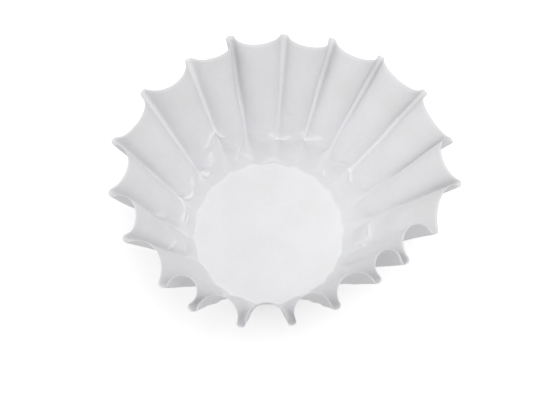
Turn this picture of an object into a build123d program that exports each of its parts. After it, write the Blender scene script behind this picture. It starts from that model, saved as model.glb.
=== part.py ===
from build123d import *
from math import atan2, cos, degrees, pi, radians, sin, sqrt
import os

# A basket coffee filter: one round sheet of paper, pressed into a cup with fluted walls.
#
# Millimetres, +Z up. The origin is the middle of the underside of the flat base, which rests
# on the surface, and -Y is the front.
#
# The flat disc's edge lies one wall length from the base edge wherever the wall leans, so the
# rim follows a torus about the base edge: it is low where the wall slumps outward and high
# where it stands. Each flute is a wide panel that curves into the cup, between two narrow folds
# that stand out. Round the wall, folds and panels are tangent arcs at every height.

# Flat sheet
disc_diameter = 406.4
paper = 0.25

# Base and walls
base_diameter = 139.7
wall_slope = 59.6  # mean angle between wall and base, in degrees, along the folds
slumps = [(8.8, 48.0), (5.0, 27.0), (2.8, 28.0)]  # degrees outward and where, once to thrice round

# Flutes
flutes = 20
first_fold = 199.8  # direction of the first fold from +X
crowding = [(6.6, 27.0), (1.0, 56.0), (1.4, 169.0)]  # drift of the folds and its phase, in degrees
strays = {1: (4.3, 0.3), 6: (2.5, 0.5), 9: (2.5, -2.0), 15: (2.0, -4.5)}  # folds out of line: round, upright
taken_up = 0.03  # share of the rim's paper that the crepe and small crimps take up
least_slack = 2.0  # paper left over in the most stretched flute
ring_height = 27.0  # the press ends here, and the flutes open out above it
base_depth = 1.0  # of the panels, measured from the line between two folds
ring_depth = 4.6
base_bend = 1.0  # radius of the folds, halfway through the paper
ring_bend = 1.6
rim_bend = 3.0
level_shares = (0, 0.29, 0.61, 1)  # levels above the ring, close enough for nearly flat facets
fold_steps, panel_steps = 3, 12  # straight facets in each arc

in_line = (0, 0)
base_radius = base_diameter / 2
wall_length = (disc_diameter - base_diameter) / 2
flute_edge = pi * disc_diameter / flutes * (1 - taken_up)
rim_height = wall_length * sin(radians(wall_slope))
half_run = paper / 2 / sin(radians(wall_slope))  # half the paper's thickness, cut level
levels = [ring_height + share * (wall_length - ring_height) for share in level_shares]


def fold_direction(k):
    """Direction of fold k in radians. The folds are uneven: they crowd together at the front."""
    turn = 2 * pi * k / flutes
    drift = sum(
        size * sin(times * turn + radians(phase))
        for times, (size, phase) in enumerate(crowding, start=1)
    )
    astray, _ = strays.get(k, in_line)
    return turn + radians(first_fold + drift + astray)


def fold_tip(k):
    """Outermost point of fold k at the rim. The wall slumps further on some sides."""
    direction = fold_direction(k)
    slumped = sum(
        size * cos(times * (direction - radians(toward)))
        for times, (size, toward) in enumerate(slumps, start=1)
    )
    _, upright = strays.get(k, in_line)
    slope = radians(wall_slope - slumped + upright)
    radius = base_radius + wall_length * cos(slope)
    return Vector(radius * cos(direction), radius * sin(direction), wall_length * sin(slope))


def at_height(height, at_base, at_ring, at_rim, rim=rim_height):
    """A size that changes evenly from base to ring and from ring to rim."""
    if height <= ring_height:
        return at_base + (at_ring - at_base) * height / ring_height
    return at_ring + (at_rim - at_ring) * (height - ring_height) / (rim - ring_height)


def fold_centre(k, height, bend):
    """Centre of fold k's arc at a height. A fold climbs straight from base edge to rim."""
    tip = fold_tip(k)
    outward = Vector(tip.X, tip.Y).normalized()
    climbed = height / tip.Z
    return outward * (base_radius + (Vector(tip.X, tip.Y).length - base_radius) * climbed - bend)


def panel_depth(k, height):
    """Depth of the panel before fold k: as deep as the paper between its folds lets it be."""
    chord = (fold_tip(k) - fold_tip(k - 1)).length
    slack = max(flute_edge - chord, least_slack)
    rim = (fold_tip(k).Z + fold_tip(k - 1).Z) / 2
    level_cut = sqrt(3 / 8 * chord * slack) * wall_length / rim
    return at_height(height, base_depth, ring_depth, level_cut - rim_bend, rim)


def panel_centre(first, second, depth, bend):
    """Centre of a panel's arc, outside the wall, so that it is tangent to the folds beside it."""
    chord = second - first
    outward = Vector(chord.Y, -chord.X).normalized()
    radius = ((chord.length / 2) ** 2 + depth**2 - bend**2) / (2 * (depth + bend))
    return (first + second) / 2 + outward * (radius - depth)


def arc(centre, start, end, steps, sense):
    """Points along an arc about a centre, its start left out. Sense 1 turns left and -1 right."""
    first, last = start - centre, end - centre
    swept = sense * (atan2(last.Y, last.X) - atan2(first.Y, first.X)) % (2 * pi)
    turns = [sense * degrees(swept) * step / steps for step in range(1, steps + 1)]
    return [centre + first.rotate(Axis.Z, turn) for turn in turns]


def skin(height, out):
    """Outline of the wall at a height, at a distance out from the middle of the paper."""
    bend = at_height(height, base_bend, ring_bend, rim_bend)
    folds = [fold_centre(k, height, bend) for k in range(flutes)]
    panels = [
        panel_centre(folds[k - 1], folds[k], panel_depth(k, height), bend) for k in range(flutes)
    ]
    points = []
    for k, fold in enumerate(folds):
        before, after = panels[k], panels[(k + 1) % flutes]
        arrive, leave = [fold + (panel - fold).normalized() * (bend + out) for panel in (before, after)]
        following = folds[(k + 1) % flutes]
        end = following + (after - following).normalized() * (bend + out)
        points += arc(fold, arrive, leave, fold_steps, 1)
        points += arc(after, leave, end, panel_steps, -1)
    with BuildSketch(Plane.XY.offset(height)) as outline:
        with BuildLine():
            Polyline(*points, close=True)
        make_face()
    return outline.sketch


with BuildPart() as coffee_filter:
    # Outside of the folded sheet, carried on past the rim
    loft([skin(height, half_run) for height in (0, *levels)], ruled=True)

    # Inside, down to the flat base
    loft([skin(height, -half_run) for height in (paper, *levels)], ruled=True, mode=Mode.SUBTRACT)

    # The edge of the flat disc: one wall length from the base edge all round
    with BuildSketch(Plane.XZ):
        with BuildLine():
            edge = CenterArc((base_radius, 0), wall_length, 0, 90)
            below = (base_radius + wall_length, -paper)
            Polyline(edge @ 1, (0, wall_length), (0, -paper), below, edge @ 0)
        make_face()
    revolve(axis=Axis.Z, mode=Mode.INTERSECT)

coffee_filter.part.label = "coffee_filter"
os.makedirs("parts", exist_ok=True)
export_step(coffee_filter.part, "parts/coffee_filter.step")
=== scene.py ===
import math

import bpy
import numpy as np
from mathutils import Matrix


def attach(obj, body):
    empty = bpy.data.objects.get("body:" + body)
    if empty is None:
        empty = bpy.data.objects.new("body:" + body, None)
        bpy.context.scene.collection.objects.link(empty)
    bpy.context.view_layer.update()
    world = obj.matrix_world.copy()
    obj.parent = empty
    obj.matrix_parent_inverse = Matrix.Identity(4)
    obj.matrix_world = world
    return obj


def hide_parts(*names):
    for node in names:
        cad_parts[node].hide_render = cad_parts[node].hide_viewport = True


# A basket coffee filter: one round sheet of paper, pressed into a cup with fluted walls.
#
# Metres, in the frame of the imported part. The origin is the middle of the underside of the
# flat base, +Z is up and -Y is the front. A place in plan is a complex number, x + 1j * y.
# A place on the sheet is a column, which counts flutes round the wall, and a run, the distance
# along the paper from the base edge, negative on the base.

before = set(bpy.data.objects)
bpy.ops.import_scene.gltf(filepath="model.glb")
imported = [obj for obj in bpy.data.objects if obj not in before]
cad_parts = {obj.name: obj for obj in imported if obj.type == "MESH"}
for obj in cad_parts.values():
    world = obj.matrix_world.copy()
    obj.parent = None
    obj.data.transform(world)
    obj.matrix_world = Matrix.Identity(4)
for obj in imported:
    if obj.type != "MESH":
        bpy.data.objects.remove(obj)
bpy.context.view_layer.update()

# Flat sheet, base and walls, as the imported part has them
disc_diameter = 0.4064
paper = 0.00025
base_diameter = 0.1397
wall_slope = 59.6  # mean angle between wall and base, in degrees, along the folds
slumps = [(8.8, 48.0), (5.0, 27.0), (2.8, 28.0)]  # degrees outward and where, once to thrice round

# Flutes
flutes = 20
first_fold = 199.8  # direction of the first fold from +X
crowding = [(6.6, 27.0), (1.0, 56.0), (1.4, 169.0)]  # drift of the folds and its phase, in degrees
# Folds out of line, each with how far round the wall and upright, in degrees
strays = {1: (4.3, 0.3), 6: (2.5, 0.5), 9: (2.5, -2.0), 15: (2.0, -4.5)}
taken_up = 0.03  # share of the rim's paper that the crepe and small crimps take up
least_slack = 0.002  # paper left over in the most stretched flute
ring_height = 0.027  # the press ends here, and the flutes open out above it
base_depth = 0.001  # of the panels, from the line between the tips of the folds beside them
ring_depth = 0.0062
base_bend = 0.0075  # radius of the folds: soft at the base, crisp from the ring up
ring_bend = 0.0016
rim_bend = 0.0034
base_corner = 0.0004  # softness of the turn from base to wall

# Pressed line in each fold, seen from inside. A start is the run where a small form begins, and
# a growth the length over which it comes up
fold_line = 0.0003
fold_line_width = 0.2  # as a share of the fold
fold_line_start, fold_line_growth = 0.03, 0.01
faint_lines = {0: 0.1, 8: 0.1, 9: 0.0, 10: 0.3, 14: 0.6, 15: 0.2, 18: 0.0, 19: 0.0}  # share left

# Swells beside some folds, each with its height. The place and width are shares of the flute
swells = {0: 0.0013, 9: 0.0013, 10: 0.0013, 18: 0.0009, 19: 0.0004}
swell_place, swell_width = 0.9, 0.09
swell_start, swell_growth = 0.014, 0.02

# Shallow waves, and fine wrinkles where the lower wall was gathered. The turns are the most
# waves round the wall, and the pitch the most radians in a metre of run
waves_in_sum = 14
wave_height, wave_turns, wave_pitch, wave_seed = 0.0002, 34, 160, 7
wave_start, wave_growth = 0.002, 0.03
wrinkle_height, wrinkle_turns, wrinkle_pitch, wrinkle_seed = 0.00006, 90, 600, 11
wrinkle_growth, wrinkle_end, wrinkle_fade = 0.008, 0.055, 0.02

# Wandering edge of the sheet
ragged_edge = 0.0004
edge_turns = (7, 16, 31)  # waves round the rim
edge_closeness = 8  # how closely the wander keeps to the rim

# Crimps in the lower wall, where the press gathered the paper. Each is a height, inwards or
# outwards, a width, and a bent line of places, each a column and a share of the wall. The crest
# and the foot are what a crimp's sharp and broad bells add, as shares of its height
crimp_crest, crimp_foot = 0.975, 0.325
foot_width = 4  # in widths of the crimp
crimp_fade = 0.4  # how bluntly a crimp ends
crimps = [
    (0.0014, 0.0011, [(14.47, 0.28), (14.3, 0.205), (14.1, 0.20), (13.79, 0.23), (13.65, 0.27)]),
    (0.0014, 0.0011, [(13.4, 0.31), (13.2, 0.24), (13.0, 0.23), (12.79, 0.27), (12.56, 0.33)]),
    (0.0013, 0.0009, [(16.65, 0.36), (16.42, 0.42), (16.25, 0.39)]),
    (0.0016, 0.0010, [(16.45, 0.42), (16.3, 0.39), (16.1, 0.37), (15.85, 0.33)]),
    (0.0018, 0.0010, [(16.57, 0.31), (16.67, 0.22), (16.78, 0.15), (16.96, 0.10)]),
    (0.0020, 0.0016, [(17.03, 0.18), (16.97, 0.125), (16.8, 0.14)]),
    (0.0009, 0.0009, [(15.5, 0.22), (15.6, 0.16), (15.8, 0.08)]),
    (0.0009, 0.0009, [(15.6, 0.16), (15.3, 0.09), (15.0, 0.035)]),
    (0.0008, 0.0009, [(14.75, 0.015), (14.4, 0.035), (13.7, 0.015)]),
    (0.0015, 0.0009, [(17.56, 0.27), (17.64, 0.20), (17.8, 0.14)]),
    (0.0020, 0.0016, [(18.03, 0.20), (17.88, 0.155), (17.74, 0.16)]),
    (0.0018, 0.0009, [(18.12, 0.26), (18.3, 0.225), (18.47, 0.20), (18.46, 0.14)]),
    (0.0018, 0.0009, [(18.43, 0.14), (18.58, 0.19), (18.75, 0.22), (18.98, 0.18)]),
    (0.0018, 0.0009, [(18.90, 0.21), (19.02, 0.124), (19.1, 0.05)]),
    (0.0014, 0.0009, [(18.40, 0.24), (18.56, 0.13), (18.88, 0.15)]),
    (0.0014, 0.0010, [(19.0, 0.51), (18.95, 0.39)]),
    (0.0012, 0.0010, [(19.99, 0.48), (19.88, 0.44), (19.76, 0.39)]),
    (0.0008, 0.0009, [(11.9, 0.10), (11.75, 0.06)]),
    (0.0011, 0.0009, [(11.25, 0.23), (10.95, 0.21), (10.7, 0.20)]),
    (0.0009, 0.0009, [(8.8, 0.30), (8.4, 0.34), (8.3, 0.13)]),
    (0.0008, 0.0009, [(8.35, 0.26), (8.0, 0.26)]),
    (0.0008, 0.0009, [(2.2, 0.05), (2.5, 0.12)]),
    (0.0009, 0.0009, [(3.3, 0.08), (3.4, 0.20)]),
    (0.0008, 0.0009, [(5.4, 0.06), (5.2, 0.14)]),
    (-0.0005, 0.0009, [(13.9, 0.41), (13.7, 0.44)]),
    (-0.0004, 0.0009, [(11.75, 0.20), (11.4, 0.27)]),
    (-0.0006, 0.0009, [(10.25, 0.24), (10.3, 0.39)]),
    (-0.0006, 0.0009, [(8.8, 0.07), (9.0, 0.18)]),
]

# Look of the paper
thin_paper = (0.848, 0.848, 0.85, 1)
thick_paper = (0.882, 0.882, 0.902, 1)
# Painted highlight: this palest colour goes on the fold lines and crimps, for light catching them
painted_highlight_paper = (0.96, 0.96, 0.97, 1)
thin_limit, thick_limit = 0.38, 0.62  # of the mottle
patches_in_mottle = 0.6  # the rest is clouds
cloud_scale, patch_scale = 260, 30  # features in a metre of the sheet
crepe_scale, crepe_stretch = 420, (1, 4.5, 1)
fibre_scale, fibre_stretch = 1900, (3, 1, 1)
full_highlight_height = 0.0008  # height of a crimp from which its painted highlight is full
# share of the painted highlight laid along the fold lines
fold_line_highlight = 0.5
paper_gloss = 0.3
paper_roughness = (0.75, 0.95)
relief_strength, relief_height = 0.35, 0.00012

# Floor
floor_size = 6.0
floor_drop = 0.0002  # below the base
floor_glow = 0.42

# Camera
view_elevation = 70.0  # degrees above the horizon, from the front
view_distance = 0.9
focal_pixels = 976.5
frame_width, frame_height = 553, 414
base_pixel = (268.7, 232.1)  # where the middle of the base lies in the picture

base_radius = base_diameter / 2
wall_length = (disc_diameter - base_diameter) / 2
flute_edge = math.pi * disc_diameter / flutes * (1 - taken_up)
rim_height = wall_length * math.sin(math.radians(wall_slope))


def out_of_line(which):
    """How far each fold is out of line, round the wall (0) or upright (1), in degrees."""
    return np.array([strays.get(fold, (0, 0))[which] for fold in range(flutes)])


def fold_directions():
    """Direction of each fold: evenly spaced, plus a drift of three waves and a few folds astray."""
    turn = 2 * np.pi * np.arange(flutes) / flutes
    drift = sum(
        size * np.sin(times * turn + math.radians(phase))
        for times, (size, phase) in enumerate(crowding, start=1)
    )
    return turn + np.radians(first_fold + drift + out_of_line(0))


def fold_slopes(direction):
    """Angle of each fold from the base: the mean, less a slump of three waves round the wall."""
    slumped = sum(
        size * np.cos(times * (direction - math.radians(toward)))
        for times, (size, toward) in enumerate(slumps, start=1)
    )
    return np.radians(wall_slope - slumped + out_of_line(1))


fold_direction = fold_directions()
fold_slope = fold_slopes(fold_direction)
tip_radius = base_radius + wall_length * np.cos(fold_slope)
tip_height = wall_length * np.sin(fold_slope)
fold_tip = tip_radius * np.exp(1j * fold_direction)


def at_height(height, at_base, at_ring, at_rim, rim=rim_height):
    """A size that changes evenly from ring to rim, and below the ring ever less towards the base."""
    below = at_base + (at_ring - at_base) * (height / ring_height) ** 2
    above = at_ring + (at_rim - at_ring) * (height - ring_height) / (rim - ring_height)
    return np.where(height <= ring_height, below, above)


def fold_centre(fold, height):
    """Centre of a fold's arc at a height: the fold climbs straight from the base edge to its tip."""
    reach = (tip_radius[fold] - base_radius) * height / tip_height[fold]
    bend = at_height(height, base_bend, ring_bend, rim_bend)
    return (base_radius + reach - bend) * np.exp(1j * fold_direction[fold])


def panel_after(fold, height):
    """Centre and radius of the arc of the panel after a fold, tangent to the folds beside it."""
    following = (fold + 1) % flutes
    level_chord = np.abs(fold_tip[following] - fold_tip[fold])
    tip_chord = np.hypot(level_chord, tip_height[following] - tip_height[fold])
    slack = np.maximum(flute_edge - tip_chord, least_slack)
    rim = (tip_height[fold] + tip_height[following]) / 2
    rim_depth = np.sqrt(3 / 8 * tip_chord * slack) * wall_length / rim
    bend = at_height(height, base_bend, ring_bend, rim_bend)
    depth = at_height(height, base_depth, ring_depth, rim_depth, rim) - bend
    first, second = fold_centre(fold, height), fold_centre(following, height)
    chord = second - first
    half = np.abs(chord) / 2
    radius = (half**2 + depth**2 - bend**2) / (2 * (depth + bend))
    return (first + second) / 2 - 1j * chord / (2 * half) * (radius - depth), radius


def outline(fold, share, height):
    """Plan of the wall at a height. Share -1 to 0 turns round a fold, and 0 to 1 runs along the
    panel after it."""
    bend = at_height(height, base_bend, ring_bend, rim_bend)
    centre, following = fold_centre(fold, height), fold_centre((fold + 1) % flutes, height)
    before, _ = panel_after((fold - 1) % flutes, height)
    after, radius = panel_after(fold, height)
    arrive, leave = np.angle(before - centre), np.angle(after - centre)
    turned = (leave - arrive) % (2 * np.pi)
    start, end = np.angle(centre - after), np.angle(following - after)
    swept = (start - end) % (2 * np.pi)
    on_fold = centre + bend * np.exp(1j * (arrive + turned * (share + 1)))
    on_panel = after + radius * np.exp(1j * (start - swept * share))
    return np.where(share < 0, on_fold, on_panel)


# Grid of the sheet
fold_columns, panel_columns = 6, 18
fold_share = fold_columns / (fold_columns + panel_columns)
base_rows, base_crowding = 9, 1.3  # the rows of the base lie closer near its edge
corner_rows = (-0.0016, -0.0007, -0.0002, 0.0002, 0.0007, 0.0016, 0.003, 0.005, 0.007)
crimp_rows = (0.009, 0.0665, 0.0009)  # first run, end and step
wall_start, wall_rows = 0.068, 20
height_steps = 12


def share_of_flute(column):
    """Where a column lies in its flute: -1 to 0 on the fold, 0 to 1 on the panel."""
    return (column % 1 - fold_share) / np.where(column % 1 < fold_share, fold_share, 1 - fold_share)


def sheet_surface(column, run):
    """The middle of the paper. Slant and inset are the two halves of a hyperbola through the
    corner, so that base and wall turn into each other softly. A point lies at its slant from the
    base edge's circle, at a height found in steps, and the base is the outline at its edge, shrunk."""
    fold = np.floor(column).astype(int) % flutes
    share = share_of_flute(column)
    softened = np.sqrt(run**2 + base_corner**2)
    slant, inset = (softened + run) / 2, (softened - run) / 2
    height = slant * math.sin(math.radians(wall_slope))
    for _ in range(height_steps):
        reach = np.abs(outline(fold, share, height)) - np.abs(outline(fold, share, 0 * height))
        height = height * slant / np.hypot(reach, height)
    plan = outline(fold, share, height) * (1 - inset / base_radius)
    return np.stack([plan.real, plan.imag, height + paper / 2], axis=-1)


def grid_of_the_sheet():
    """Columns round the wall and runs from near the middle of the base out to the rim. The rows
    lie close where the crimps are."""
    column = np.arange(flutes * (fold_columns + panel_columns)) / (fold_columns + panel_columns)
    base_run = -base_radius * (1 - np.arange(1, base_rows) / base_rows) ** base_crowding
    wall_run = np.linspace(wall_start, wall_length, wall_rows)
    return np.meshgrid(column, np.concatenate([base_run, corner_rows, np.arange(*crimp_rows), wall_run]))


def inward_normals(points):
    """Unit normals of the grid, towards the inside of the cup, from its neighbours each way."""
    round_the_wall = np.roll(points, -1, axis=1) - np.roll(points, 1, axis=1)
    up_the_wall = np.gradient(points, axis=0)
    normal = np.cross(round_the_wall, up_the_wall)
    return -normal / np.linalg.norm(normal, axis=-1, keepdims=True)


def rising(run, start, growth):
    """From 0 at a start to 1 a growth further along the paper."""
    return np.clip((run - start) / growth, 0, 1)


def sum_of_waves(column, run, height, most_turns, most_pitch, seed):
    """A sum of sines in all directions that closes round the wall and mostly keeps to the height."""
    chance = np.random.default_rng(seed)
    total = 0
    for _ in range(waves_in_sum):
        turns = chance.integers(most_turns // 5, most_turns)
        pitch = chance.uniform(-most_pitch, most_pitch)
        phase = chance.uniform(0, 2 * np.pi)
        total = total + np.sin(2 * np.pi * turns * column / flutes + pitch * run + phase)
    return height * total / 3


def paper_waves(column, run):
    """Shallow waves above the corner, and fine wrinkles where the lower wall was gathered."""
    waves = sum_of_waves(column, run, wave_height, wave_turns, wave_pitch, wave_seed)
    wrinkles = sum_of_waves(column, run, wrinkle_height, wrinkle_turns, wrinkle_pitch, wrinkle_seed)
    gathered = rising(run, 0, wrinkle_growth) * rising(-run, -wrinkle_end, wrinkle_fade)
    return waves * rising(run, wave_start, wave_growth) + wrinkles * gathered


def pressed_fold_lines(column, run):
    """The line the press left in the middle of each fold, a bell across it, from the ring up."""
    clear = np.array([faint_lines.get(fold, 1) for fold in range(flutes)])
    across = (share_of_flute(column) + 0.5) / fold_line_width
    bell = clear[np.floor(column).astype(int) % flutes] * np.exp(-across**2)
    return bell * rising(run, fold_line_start, fold_line_growth)


def swells_beside_folds(column, run):
    """A swell in the panel before some folds, a bell across it, from below the ring up."""
    swell = np.array([swells.get(fold, 0) for fold in range(flutes)])
    nearest_fold = np.floor(column + 0.5).astype(int) % flutes
    across = ((column + 0.5) % 1 - (swell_place - 0.5)) / swell_width
    return swell[nearest_fold] * np.exp(-across**2) * rising(run, swell_start, swell_growth)


def flat_place(column, run):
    """Place on the flat sheet, as a complex number."""
    return (base_radius + run) * np.exp(2j * np.pi * column / flutes)


def crimp_height(flat):
    """Each crimp is a sharp crest on a broad foot: two bells of a place's distance on the flat
    sheet from the crimp's bent line, which die away towards the line's ends. Where crimps meet,
    the highest or the deepest counts."""
    inward, outward = np.zeros(flat.shape), np.zeros(flat.shape)
    for height, width, line in crimps:
        column, share = np.array(line).T
        bends = flat_place(column, share * wall_length)
        lengths = np.abs(np.diff(bends))
        nearest, passed = np.full(flat.shape, np.inf), np.zeros(flat.shape)
        for start, end, before, length in zip(bends, bends[1:], np.cumsum(lengths) - lengths, lengths):
            along = np.clip(((flat - start) * np.conj(end - start)).real / length**2, 0, 1)
            gap = np.abs(flat - start - along * (end - start))
            passed = np.where(gap < nearest, (before + along * length) / lengths.sum(), passed)
            nearest = np.minimum(gap, nearest)
        crest = crimp_crest * np.exp(-((nearest / width) ** 2))
        foot = crimp_foot * np.exp(-((nearest / (foot_width * width)) ** 2))
        crimp = height * (crest + foot) * np.clip(4 * passed * (1 - passed), 0, 1) ** crimp_fade
        inward, outward = np.maximum(inward, crimp), np.minimum(outward, crimp)
    return inward + outward


def closed_grid_faces(rows, columns):
    """Quads of a grid that closes on itself round its columns, and triangles to a point after it."""
    row, column = np.meshgrid(np.arange(rows - 1), np.arange(columns), indexing="ij")
    here, above = row * columns, (row + 1) * columns
    beside = (column + 1) % columns
    quads = np.stack([above + column, above + beside, here + beside, here + column], axis=-1)
    first = np.arange(columns)
    fan = np.stack([first, (first + 1) % columns, np.full(columns, rows * columns)], axis=-1)
    return quads.reshape(-1, 4).tolist() + fan.tolist()


def coffee_filter_piece():
    """The whole sheet as one grid with a point at the middle of the base, thickened to paper. Its
    attribute flat_place is the place on the flat sheet, and a second attribute marks the painted
    highlight, a paler colour for light catching the fold lines and crimps."""
    column, run = grid_of_the_sheet()
    flat, turn = flat_place(column, run), 2 * np.pi * column / flutes
    edge_wander = sum(np.sin(times * turn + times) for times in edge_turns) * ragged_edge
    points = sheet_surface(column, run + edge_wander * rising(run, 0, wall_length) ** edge_closeness)
    lines, gathered = pressed_fold_lines(column, run), crimp_height(flat)
    raised = paper_waves(column, run) + swells_beside_folds(column, run) + fold_line * lines + gathered
    points = points + inward_normals(points) * raised[..., None]
    points = np.concatenate([points.reshape(-1, 3), [[0, 0, paper / 2]]])
    mesh = bpy.data.meshes.new("filter_sheet")
    mesh.from_pydata(points.tolist(), [], closed_grid_faces(*column.shape))
    mesh.shade_smooth()

    flat = np.append(flat.ravel(), 0)
    place = mesh.attributes.new("flat_place", "FLOAT_VECTOR", "POINT")
    place.data.foreach_set("vector", np.stack([flat.real, flat.imag, 0 * flat.real], axis=-1).ravel())
    highlight_mask = mesh.attributes.new("highlight_mask", "FLOAT", "POINT")
    # Painted highlight: the fold lines and crimps get a paler colour, for light catching them
    painted_highlight = np.clip(lines * fold_line_highlight + gathered / full_highlight_height, 0, 1)
    highlight_mask.data.foreach_set("value", np.append(painted_highlight.ravel(), 0))

    piece = bpy.data.objects.new("filter_sheet", mesh)
    bpy.context.scene.collection.objects.link(piece)
    thickness = piece.modifiers.new("paper thickness", "SOLIDIFY")
    thickness.thickness = paper
    thickness.offset = 0
    return piece


def add_node(tree, kind, inputs=(), **settings):
    """A node of a kind, with its settings and the values of its inputs."""
    node = tree.nodes.new(kind)
    for name, value in settings.items():
        setattr(node, name, value)
    for name, value in dict(inputs).items():
        node.inputs[name].default_value = value
    return node


def sheet_pattern(tree, scale, detail, stretch=(1, 1, 1)):
    """Noise on the flat sheet, drawn out one way by its stretch."""
    flat = add_node(tree, "ShaderNodeAttribute", attribute_name="flat_place")
    mapping = add_node(tree, "ShaderNodeMapping", {"Scale": stretch})
    noise = add_node(tree, "ShaderNodeTexNoise", {"Scale": scale, "Detail": detail})
    tree.links.new(flat.outputs["Vector"], mapping.inputs["Vector"])
    tree.links.new(mapping.outputs["Vector"], noise.inputs["Vector"])
    return noise.outputs["Fac"]


def white_paper():
    """Soft matt white filter paper: cloudy and patchy where the pulp lies thicker, with fine
    crepe lines across the sheet and short fibres, and a paler colour on the fold lines and
    crimps that is painted highlight, for light catching them."""
    material = bpy.data.materials.new("white_paper")
    material.use_nodes = True
    tree = material.node_tree
    links = tree.links
    shader = tree.nodes["Principled BSDF"]
    shader.inputs["Specular IOR Level"].default_value = paper_gloss

    clouds = sheet_pattern(tree, cloud_scale, detail=3)
    patches = sheet_pattern(tree, patch_scale, detail=1)
    crepe = sheet_pattern(tree, crepe_scale, detail=2, stretch=crepe_stretch)
    fibres = sheet_pattern(tree, fibre_scale, detail=3, stretch=fibre_stretch)

    tone = add_node(tree, "ShaderNodeValToRGB")
    thin, thick = tone.color_ramp.elements
    thin.position, thin.color = thin_limit, thin_paper
    thick.position, thick.color = thick_limit, thick_paper
    mottle = add_node(tree, "ShaderNodeMix", {"Factor": patches_in_mottle}, data_type="FLOAT")
    links.new(clouds, mottle.inputs["A"])
    links.new(patches, mottle.inputs["B"])
    links.new(mottle.outputs["Result"], tone.inputs["Fac"])

    # Painted highlight: paler colour mixed in where the mesh marks fold lines and crimps
    highlight_mask = add_node(tree, "ShaderNodeAttribute", attribute_name="highlight_mask")
    highlighted = add_node(tree, "ShaderNodeMix", data_type="RGBA", blend_type="MIX")
    highlighted.inputs["B"].default_value = painted_highlight_paper
    links.new(highlight_mask.outputs["Fac"], highlighted.inputs["Factor"])
    links.new(tone.outputs["Color"], highlighted.inputs["A"])
    links.new(highlighted.outputs["Result"], shader.inputs["Base Color"])

    smooth, rough = paper_roughness
    dull = add_node(tree, "ShaderNodeMapRange", {"To Min": smooth, "To Max": rough})
    links.new(fibres, dull.inputs["Value"])
    links.new(dull.outputs["Result"], shader.inputs["Roughness"])

    relief = add_node(tree, "ShaderNodeMath", operation="ADD")
    bump = add_node(tree, "ShaderNodeBump", {"Strength": relief_strength, "Distance": relief_height})
    links.new(crepe, relief.inputs[0])
    links.new(fibres, relief.inputs[1])
    links.new(relief.outputs[0], bump.inputs["Height"])
    links.new(bump.outputs["Normal"], shader.inputs["Normal"])
    return material


def pale_floor():
    """A large plane just under the base. It looks white to the camera, and keeps the shadow."""
    mesh = bpy.data.meshes.new("floor")
    corners = [(-1, -1), (1, -1), (1, 1), (-1, 1)]
    places = [(x * floor_size, y * floor_size, -floor_drop) for x, y in corners]
    mesh.from_pydata(places, [], [(0, 1, 2, 3)])
    floor = bpy.data.objects.new("floor", mesh)
    bpy.context.scene.collection.objects.link(floor)
    material = bpy.data.materials.new("floor_white")
    material.use_nodes = True
    tree = material.node_tree
    links = tree.links
    tree.nodes.clear()
    output = add_node(tree, "ShaderNodeOutputMaterial")
    mix = add_node(tree, "ShaderNodeMixShader")
    bare = add_node(tree, "ShaderNodeBsdfDiffuse", {"Color": (0.8, 0.8, 0.8, 1)})
    lift = add_node(tree, "ShaderNodeEmission", {"Strength": floor_glow})
    both = add_node(tree, "ShaderNodeAddShader")
    path = add_node(tree, "ShaderNodeLightPath")
    seen = add_node(tree, "ShaderNodeMath", operation="MAXIMUM")
    through = add_node(tree, "ShaderNodeMath", operation="MAXIMUM")
    links.new(path.outputs["Is Camera Ray"], seen.inputs[0])
    links.new(path.outputs["Is Glossy Ray"], seen.inputs[1])
    links.new(seen.outputs[0], through.inputs[0])
    links.new(path.outputs["Is Transmission Ray"], through.inputs[1])
    links.new(bare.outputs[0], both.inputs[0])
    links.new(lift.outputs[0], both.inputs[1])
    links.new(through.outputs[0], mix.inputs[0])
    links.new(bare.outputs[0], mix.inputs[1])
    links.new(both.outputs[0], mix.inputs[2])
    links.new(mix.outputs[0], output.inputs["Surface"])
    mesh.materials.append(material)


def soft_light(name, place, size, power):
    """A square lamp that faces the middle of the filter."""
    lamp = bpy.data.lights.new(name, "AREA")
    lamp.shape = "SQUARE"
    lamp.size = size
    lamp.energy = power
    holder = bpy.data.objects.new(name, lamp)
    holder.location = place
    away = holder.location.normalized()
    holder.rotation_euler = away.to_track_quat("Z", "Y").to_euler()
    bpy.context.scene.collection.objects.link(holder)


def room_light(level):
    """Even white light from all round. The background itself is white to the camera."""
    world = bpy.data.worlds.new("room")
    bpy.context.scene.world = world
    world.use_nodes = True
    tree = world.node_tree
    tree.nodes.clear()
    output = add_node(tree, "ShaderNodeOutputWorld")
    background = add_node(tree, "ShaderNodeBackground", {"Color": (1, 1, 1, 1)})
    path = add_node(tree, "ShaderNodeLightPath")
    strength = add_node(tree, "ShaderNodeMapRange", {"To Min": level, "To Max": 1.0})
    tree.links.new(path.outputs["Is Camera Ray"], strength.inputs["Value"])
    tree.links.new(strength.outputs[0], background.inputs["Strength"])
    tree.links.new(background.outputs[0], output.inputs["Surface"])


def view_camera():
    """Looks down at the middle of the base from the front, which lies a little off centre."""
    data = bpy.data.cameras.new("camera")
    data.sensor_width = 36.0
    data.lens = focal_pixels / frame_width * data.sensor_width
    data.shift_x = (frame_width / 2 - base_pixel[0]) / frame_width
    data.shift_y = (base_pixel[1] - frame_height / 2) / frame_width
    camera = bpy.data.objects.new("camera", data)
    elevation = math.radians(view_elevation)
    camera.location = (0, -view_distance * math.cos(elevation), view_distance * math.sin(elevation))
    camera.rotation_euler = (math.pi / 2 - elevation, 0, 0)
    bpy.context.scene.collection.objects.link(camera)
    bpy.context.scene.camera = camera


sheet = coffee_filter_piece()
sheet.data.materials.append(white_paper())
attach(sheet, "root")
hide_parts("coffee_filter")

pale_floor()
soft_light("overhead_light", place=(0.3, -0.08, 1.7), size=0.9, power=10.5)
soft_light("window_light", place=(-1.1, 0.2, 1.0), size=0.6, power=2.0)
room_light(level=0.56)
view_camera()
bpy.context.scene.view_settings.view_transform = "Standard"
